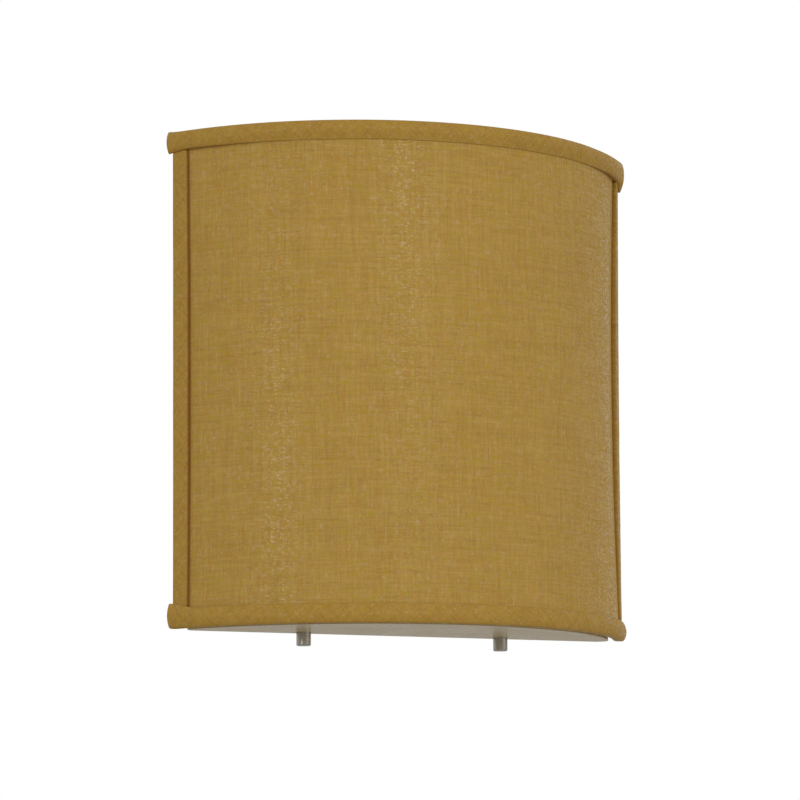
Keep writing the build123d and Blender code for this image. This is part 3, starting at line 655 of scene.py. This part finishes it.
# ---------------------------------------------------------------- rim tapes
def rim_section(sizes):
    """Outline of the top tape, (radius, height): crowned outside, close round the wire inside."""
    edge = CLOTH_RADIUS + sizes.tape_edge_rise
    crown = CLOTH_RADIUS + sizes.tape_crown
    shoulder = (edge + 2 * crown) / 3
    middle = (TAPE_EDGE + RIM_TOP) / 2
    return [
        (CLOTH_RADIUS - 0.3 * MM, TAPE_EDGE + 0.2 * MM),
        (CLOTH_RADIUS + 1.0 * MM, TAPE_EDGE),
        (edge, TAPE_EDGE + 0.1 * MM),
        (edge + 0.4 * MM, TAPE_EDGE + 0.8 * MM),
        (shoulder, TAPE_EDGE + 2.8 * MM),
        (crown, middle),
        (shoulder, RIM_TOP - 2.8 * MM),
        (edge + 0.3 * MM, RIM_TOP - 0.6 * MM),
        (edge - 0.9 * MM, RIM_TOP),
        (WIRE_RADIUS + 0.3 * MM, RIM_TOP - 0.1 * MM),
        (WIRE_RADIUS - TAPE_WRAP * 0.8, RIM_TOP - 0.7 * MM),
        (WIRE_RADIUS - TAPE_WRAP, RING_TOP - WIRE / 2),
        (WIRE_RADIUS - TAPE_WRAP * 0.7, RING_TOP - WIRE),
        (LINER_INSIDE - 1.0 * MM, RING_TOP - WIRE - 2.0 * MM),
        (LINER_INSIDE - 0.8 * MM, TAPE_EDGE + 1.4 * MM),
        (LINER_INSIDE - 0.1 * MM, TAPE_EDGE + 0.8 * MM),
    ]


def close_end(bm, edges):
    """Close a tape's end with a lid whose rim is tucked in."""
    lid = bmesh.ops.edgeloop_fill(bm, edges=edges)["faces"]
    bmesh.ops.inset_region(bm, faces=lid, thickness=0.5 * MM, depth=0.25 * MM, use_even_offset=True)


def lay_by_hand(bm, rim, half, sizes):
    """Press a rim tape's hem, let the tape wave a little, and shape its two ends."""
    upward = 1 if rim == "top" else -1
    for vertex in bm.verts:
        angle, radius = angle_of(vertex.co), radius_of(vertex.co)
        outer = max(0.0, min(1.0, (radius - CLOTH_RADIUS) / sizes.tape_crown))
        low = (RIM_TOP - vertex.co.z) / (RIM_TOP - TAPE_EDGE)
        pressed = HEM_PRESS * (1 - towards_side(angle, half, PRESS_SPAN))
        pressed *= FOLD_PRESS + (1 - FOLD_PRESS) * smooth(low, 0.5, 1)
        radius -= max(0.0, radius - CLOTH_RADIUS) * pressed
        for wave in RIM_WAVES:
            along = angle * CLOTH_RADIUS / MM / wave.length
            rise = noise.noise(Vector((along, wave.row * upward, wave.slant * low))) * outer * MM
            radius += wave.out * rise
            vertex.co.z += wave.along_hem * low * rise
        side = side_of(angle)
        end = TAPE_ENDS[rim, side]
        to_end = (half - abs(angle)) * CLOTH_RADIUS / MM
        turn = smooth(-to_end, -end.spread, 0)
        swell = max(0.0, 1 - to_end / end.widening) ** 1.2
        grip = outer**0.15 * MM
        vertex.co.z += (end.lift * (1 - low) * swell**3 - end.droop * low * turn) * grip
        radius += end.flare * (1 - 0.6 * low) * swell * grip
        angle += side * end.reach * turn * MM_ANGLE
        vertex.co.x, vertex.co.y = polar(radius, angle).xy


def paint_hem_shadow(bm, rim, half):
    """Paint the shadow line along a rim tape's hem, darker towards the sides; only the top one gets it.
    """
    seam = bm.verts.layers.float.new("seam")
    if rim == "top":
        for vertex in bm.verts:
            above = max(0.0, (vertex.co.z - TAPE_EDGE) / (1.1 * MM))
            away = towards_side(angle_of(vertex.co), half, HEM_SHADOW_SPAN)
            vertex[seam] = HEM_SHADOW * away * max(0.0, 1 - above)


def rim_tape(rim, sizes):
    """One rim tape, made for the top rim and turned over for the bottom one."""
    half = EDGE_ANGLE + sizes.tape_end / CLOTH_RADIUS
    section = rim_section(sizes)
    lengths = [0.0]
    for (r_a, z_a), (r_b, z_b) in zip(section, section[1:] + section[:1]):
        lengths.append(lengths[-1] + math.hypot(r_b - r_a, z_b - z_a))
    girth = lengths.pop()
    bm = bmesh.new()
    across = bm.verts.layers.float.new("across")
    start = chain(bm, [polar(radius, -half, height) for radius, height in section], closed=True)
    for vertex, length in zip(start, lengths):
        vertex[across] = length
    for end in (start, spin(bm, start, 2 * half, RIM_STEPS)):
        close_end(bm, edges_of(end))
    bmesh.ops.recalc_face_normals(bm, faces=bm.faces)
    lay_by_hand(bm, rim, half, sizes)
    paint_hem_shadow(bm, rim, half)

    def place(loop):
        """Along the curve, and across the tape; its outline closes where that starts again."""
        length = loop.vert[across]
        closes = length == 0.0 and any(other.vert[across] > girth / 2 for other in loop.face.loops)
        return angle_of(loop.vert.co) * CLOTH_RADIUS, girth if closes else length

    weave_map(bm, place)
    if rim == "bottom":
        bmesh.ops.scale(bm, vec=(1, 1, -1), verts=bm.verts)
        bmesh.ops.recalc_face_normals(bm, faces=bm.faces)
    piece = object_from(bm, f"{rim}_rim_tape")
    subdivide(piece)
    return piece


class WALL_LIGHT_OT_rim_tapes(bpy.types.Operator):
    """Fold a bias tape over each rim of the shade"""

    bl_idname = "wall_light.rim_tapes"
    bl_label = "Rim Tapes"

    def execute(self, context):
        sizes = context.scene.wall_light_sizes
        for rim in ("top", "bottom"):
            dress(rim_tape(rim, sizes), "shade", "tape", f"{rim}_tape")
        return {"FINISHED"}


# ---------------------------------------------------------------- side tapes
def tape_start(sizes):
    """Angle of a side tape's edge on the cloth."""
    return EDGE_ANGLE - sizes.side_tape_width / CLOTH_RADIUS


def sunk(sizes, angle, height):
    """How far the cloth draws in at a place: most beside a side tape, halfway up."""
    beside = (EDGE_ANGLE - abs(angle)) * CLOTH_RADIUS - sizes.side_tape_width
    wire = 0.75 * sizes.side_tape_width
    share = smooth(-beside, -sizes.sink_reach, 0) * (1 - smooth(-beside, 0, wire))
    drawn = sizes.sink * DRAWN_IN[side_of(angle)]
    return drawn * share * max(0.0, 1 - (height / TAPE_EDGE) ** 2)


def side_plan(sizes, side):
    """Plan of a side tape, (radius, angle, share); the share says how far it follows the cloth in."""
    outside = CLOTH_RADIUS + sizes.side_tape_rise * FULLNESS[side]
    start = tape_start(sizes)
    upright = angle_of(UPRIGHT)
    behind = upright - 1.2 * TAPE_WRAP / WIRE_RADIUS
    return [
        (CLOTH_RADIUS - 0.2 * MM, start + 0.3 * MM_ANGLE, 1.0),
        (CLOTH_RADIUS + 0.4 * MM, start, 0.8),
        (outside - 0.1 * MM, start, 0.65),
        (outside, start + 0.7 * MM_ANGLE, 0.6),
        (outside - 0.1 * MM, start + 4 * MM_ANGLE, 0.5),
        (outside - 0.1 * MM, EDGE_ANGLE - 3 * MM_ANGLE, 0.25),
        (outside - 0.05 * MM, EDGE_ANGLE - 0.6 * MM_ANGLE, 0.2),
        (CLOTH_RADIUS, EDGE_ANGLE, 0.1),
        (LINER_INSIDE, EDGE_ANGLE, 0.0),
        (WIRE_RADIUS - TAPE_WRAP * 0.6, EDGE_ANGLE - 0.8 * MM_ANGLE, 0.0),
        (WIRE_RADIUS - TAPE_WRAP, upright, 0.0),
        (WIRE_RADIUS - TAPE_WRAP * 0.6, behind, 0.0),
        (LINER_INSIDE - 0.7 * MM, start + 3 * MM_ANGLE, 1.0),
        (LINER_INSIDE - 0.1 * MM, start + 2.5 * MM_ANGLE, 1.0),
    ]


def side_tape(name, sizes, side):
    """Tape folded round a back edge of the shade, from the cloth's face to behind the upright."""
    start = tape_start(sizes)
    plan = side_plan(sizes, side)
    bm = bmesh.new()
    across = bm.verts.layers.float.new("across")
    follow = bm.verts.layers.float.new("follow")
    foot = -TAPE_EDGE - SIDE_TAPE_LAP
    outline = chain(bm, [polar(radius, angle, foot) for radius, angle, _ in plan], closed=True)
    for vertex, (_, angle, share) in zip(outline, plan):
        vertex[across] = angle * CLOTH_RADIUS
        vertex[follow] = share
    lower = edges_of(outline)
    upper = extrude_up(bm, lower, -2 * foot, SIDE_RINGS)
    for edges in (lower, upper):
        bmesh.ops.edgeloop_fill(bm, edges=edges)
    for vertex in bm.verts:
        angle, radius, height = angle_of(vertex.co), radius_of(vertex.co), vertex.co.z
        if radius > CLOTH_RADIUS + 0.3 * MM:
            wave = noise.noise(Vector((height / MM / SIDE_WAVE_LENGTH, angle * 9, 2.0 + side)))
            radius += SIDE_WAVE * wave + LEAN[side] * height / TAPE_EDGE
            wander = noise.noise(Vector((height / MM / WANDER_LENGTH, 5.0 + side, 0)))
            angle += WANDER * wander / CLOTH_RADIUS
        radius -= vertex[follow] * sunk(sizes, side * start, height)
        vertex.co.x, vertex.co.y = polar(radius, angle).xy
    # Painted shade: a dark line on the side tape where its folded edge meets the cloth.
    seam = bm.verts.layers.float.new("seam")
    for vertex in bm.verts:
        near = max(0.0, (vertex[across] / CLOTH_RADIUS - start) / (0.6 * MM_ANGLE))
        vertex[seam] = max(0.0, 1 - near) * SEAM_SHADE[side]
    weave_map(bm, lambda loop: (loop.vert[across], loop.vert.co.z))
    if side == LEFT:
        bmesh.ops.scale(bm, vec=(-1, 1, 1), verts=bm.verts)
    bmesh.ops.recalc_face_normals(bm, faces=bm.faces)
    piece = object_from(bm, name)
    subdivide(piece)
    return piece


class WALL_LIGHT_OT_side_tapes(bpy.types.Operator):
    """Fold a bias tape round each back edge of the shade"""

    bl_idname = "wall_light.side_tapes"
    bl_label = "Side Tapes"

    def execute(self, context):
        sizes = context.scene.wall_light_sizes
        for word, side in SIDES:
            dress(side_tape(f"{word}_edge_tape", sizes, side), "shade", "tape", f"side_tape_{word}")
        return {"FINISHED"}


# ---------------------------------------------------------------- cloth and its backing
def curved_sheet(name, sizes, radius, half, top, thickness):
    """Upright sheet on the shade's curve, drawn in beside the side tapes, thickened inwards."""
    band = FINE_BAND / CLOTH_RADIUS
    margin = TAPE_EDGE - FINE_MARGIN
    bm = bmesh.new()
    heights = (-top, -margin, margin, top)
    line = chain(bm, [polar(radius, -half, height) for height in heights])
    for edge, cuts in zip(edges_of(line), (15, 100, 15)):
        bmesh.ops.subdivide_edges(bm, edges=[edge], cuts=cuts)
    side = bm.verts[:] + bm.edges[:]
    for angle, steps in ((band, 30), (2 * (half - band), 100), (band, 30)):
        side = spin(bm, side, angle, steps)
    bmesh.ops.recalc_face_normals(bm, faces=bm.faces)
    for vertex in bm.verts:
        angle = angle_of(vertex.co)
        place = radius - sunk(sizes, angle, vertex.co.z)
        vertex.co.x, vertex.co.y = polar(place, angle).xy
    weave_map(bm, lambda loop: (angle_of(loop.vert.co) * CLOTH_RADIUS, loop.vert.co.z))
    face = bm.faces[:][0]
    if face.normal.dot(face.calc_center_median() - Vector((0, AXIS_Y, 0))) < 0:
        bmesh.ops.reverse_faces(bm, faces=bm.faces)
    piece = object_from(bm, name)
    solid = piece.modifiers.new("Thickness", "SOLIDIFY")
    solid.thickness = thickness
    solid.offset = -1
    return piece


def paint_seam_shadows(cloth, sizes):
    """Paint the cloth's shadow lines: beside the side tapes, and under the top tape near the sides."""
    seam = cloth.data.attributes.new("seam", "FLOAT", "POINT")
    start = tape_start(sizes)
    for vertex in cloth.data.vertices:
        angle = angle_of(vertex.co)
        beside = abs(start - abs(angle)) * CLOTH_RADIUS / MM
        below = abs(TAPE_EDGE - vertex.co.z) / MM
        at_side = SEAM_SHADE[side_of(angle)] * (1 - smooth(beside, 0.4, 1.3))
        at_hem = HEM_SHADOW * towards_side(angle, start, HEM_SHADOW_SPAN) * (1 - smooth(below, 0.3, 1.2))
        seam.data[vertex.index].value = max(at_side, at_hem)


class WALL_LIGHT_OT_cloth(bpy.types.Operator):
    """Stretch the cloth round the front of the shade, on its backing sheet"""

    bl_idname = "wall_light.cloth"
    bl_label = "Shade Cloth"

    def execute(self, context):
        sizes = context.scene.wall_light_sizes
        thickness = sizes.cloth_thickness
        cloth = curved_sheet("shade_cloth", sizes, CLOTH_RADIUS, CLOTH_ANGLE, CLOTH_TOP, thickness)
        paint_seam_shadows(cloth, sizes)
        dress(cloth, "shade", "cloth", "fabric_panel")
        backing = curved_sheet("shade_backing", sizes, LINER_RADIUS, CLOTH_ANGLE, LINER_TOP, LINER_SHEET)
        dress(backing, "shade", "styrene", "liner")
        return {"FINISHED"}


# ---------------------------------------------------------------- finishes of the frame's nodes
class WALL_LIGHT_OT_finishes(bpy.types.Operator):
    """Give every node of the frame its finish"""

    bl_idname = "wall_light.finishes"
    bl_label = "Finishes"

    def execute(self, context):
        for part in frame["record"]["subparts"]:
            node = frame["nodes"][part["node"]]
            node.data.materials.clear()
            node.data.materials.append(FINISHES[part["material_slot"]]())
        return {"FINISHED"}


# ---------------------------------------------------------------- camera, lamps, floor and world
def place_camera(scene):
    """The camera looks up, from the left, at the middle of the back edges."""
    stage = scene.wall_light_stage
    turn = Matrix.Rotation(-stage.yaw, 3, "Z") @ Matrix.Rotation(math.pi / 2 + stage.pitch, 3, "X")
    turn = turn @ Matrix.Rotation(-stage.roll, 3, "Z")
    right, up, back = turn.col[0], turn.col[1], turn.col[2]
    place = CAMERA_AIM - right * CAMERA_SHIFT[0] - up * CAMERA_SHIFT[1] + back * stage.distance
    camera = bpy.data.objects.new("camera", bpy.data.cameras.new("camera"))
    camera.data.lens = stage.lens
    camera.data.sensor_width = 36
    camera.data.clip_end = 50
    camera.matrix_world = Matrix.Translation(place) @ turn.to_4x4()
    scene.collection.objects.link(camera)
    scene.camera = camera


def place_softbox(scene, box):
    """One area lamp, round the object at its angles, facing it."""
    lamp = bpy.data.objects.new(box.name, bpy.data.lights.new(box.name, "AREA"))
    lamp.data.shape = "RECTANGLE"
    lamp.data.size, lamp.data.size_y = box.size
    lamp.data.energy = box.power
    around, over = math.radians(box.azimuth), math.radians(box.elevation)
    reach = box.distance * math.cos(over)
    place = Vector((reach * math.sin(around), -reach * math.cos(around), box.distance * math.sin(over)))
    direction = Vector(LIT_PLACE) - place
    turn = direction.to_track_quat("-Z", "Y").to_matrix().to_4x4()
    lamp.matrix_world = Matrix.Translation(place) @ turn
    scene.collection.objects.link(lamp)


def lay_floor():
    """Plain pale floor, far below the light, since the camera looks up at it."""
    bm = bmesh.new()
    bmesh.ops.create_grid(bm, x_segments=1, y_segments=1, size=FLOOR_REACH)
    bmesh.ops.translate(bm, verts=bm.verts, vec=(0, 0, FLOOR_HEIGHT))
    floor = object_from(bm, "floor")
    floor.data.materials.append(floor_paint())


def light_world(scene):
    """White world, dimmed as it lights the object, but not as it is seen, mirrored or seen through."""
    world = bpy.data.worlds.new("studio")
    world.use_nodes = True
    tree = world.node_tree
    background = tree.nodes["Background"]
    background.inputs["Color"].default_value = linear("#ffffff")
    rays = add(tree, "ShaderNodeLightPath").outputs
    seen = rays["Is Camera Ray"]
    for kind in ("Is Glossy Ray", "Is Transmission Ray"):
        seen = add(tree, "ShaderNodeMath", {0: seen, 1: rays[kind]}, operation="MAXIMUM").outputs[0]
    tree.links.new(ranged(tree, seen, 0, 1, WORLD_FILL, 1.0), background.inputs["Strength"])
    scene.world = world
    scene.view_settings.view_transform = "Standard"


class WALL_LIGHT_OT_stage(bpy.types.Operator):
    """Set the camera, the lamps, the floor and the white background"""

    bl_idname = "wall_light.stage"
    bl_label = "Stage"

    def execute(self, context):
        place_camera(context.scene)
        for box in SOFTBOXES:
            place_softbox(context.scene, box)
        lay_floor()
        light_world(context.scene)
        return {"FINISHED"}


# ---------------------------------------------------------------- add-on
class WALL_LIGHT_PT_pieces(bpy.types.Panel):
    """Sidebar panel that lists the pieces and their settings"""

    bl_label = "Wall Light"
    bl_idname = "WALL_LIGHT_PT_pieces"
    bl_space_type = "VIEW_3D"
    bl_region_type = "UI"
    bl_category = "Wall Light"

    def draw(self, context):
        layout = self.layout
        for setting, group in GROUPS.items():
            for name in group.__annotations__:
                layout.prop(getattr(context.scene, setting), name)
        for operator in OPERATORS:
            layout.operator(operator.bl_idname)


GROUPS = {
    "wall_light_sizes": WallLightSizes,
    "wall_light_colours": WallLightColours,
    "wall_light_stage": WallLightStage,
}
OPERATORS = (
    WALL_LIGHT_OT_rim_tapes,
    WALL_LIGHT_OT_side_tapes,
    WALL_LIGHT_OT_cloth,
    WALL_LIGHT_OT_finishes,
    WALL_LIGHT_OT_stage,
)


def register():
    """Add the settings, the operators and the panel."""
    for name, group in GROUPS.items():
        bpy.utils.register_class(group)
        setattr(bpy.types.Scene, name, PointerProperty(type=group))
    for made in OPERATORS + (WALL_LIGHT_PT_pieces,):
        bpy.utils.register_class(made)


def unregister():
    """Take them away again."""
    for made in OPERATORS + (WALL_LIGHT_PT_pieces,):
        bpy.utils.unregister_class(made)
    for name, group in GROUPS.items():
        delattr(bpy.types.Scene, name)
        bpy.utils.unregister_class(group)


def main():
    """Build every piece in order."""
    register()
    bpy.ops.wall_light.rim_tapes()
    bpy.ops.wall_light.side_tapes()
    bpy.ops.wall_light.cloth()
    bpy.ops.wall_light.finishes()
    bpy.ops.wall_light.stage()


if __name__ == "__main__":
    main()
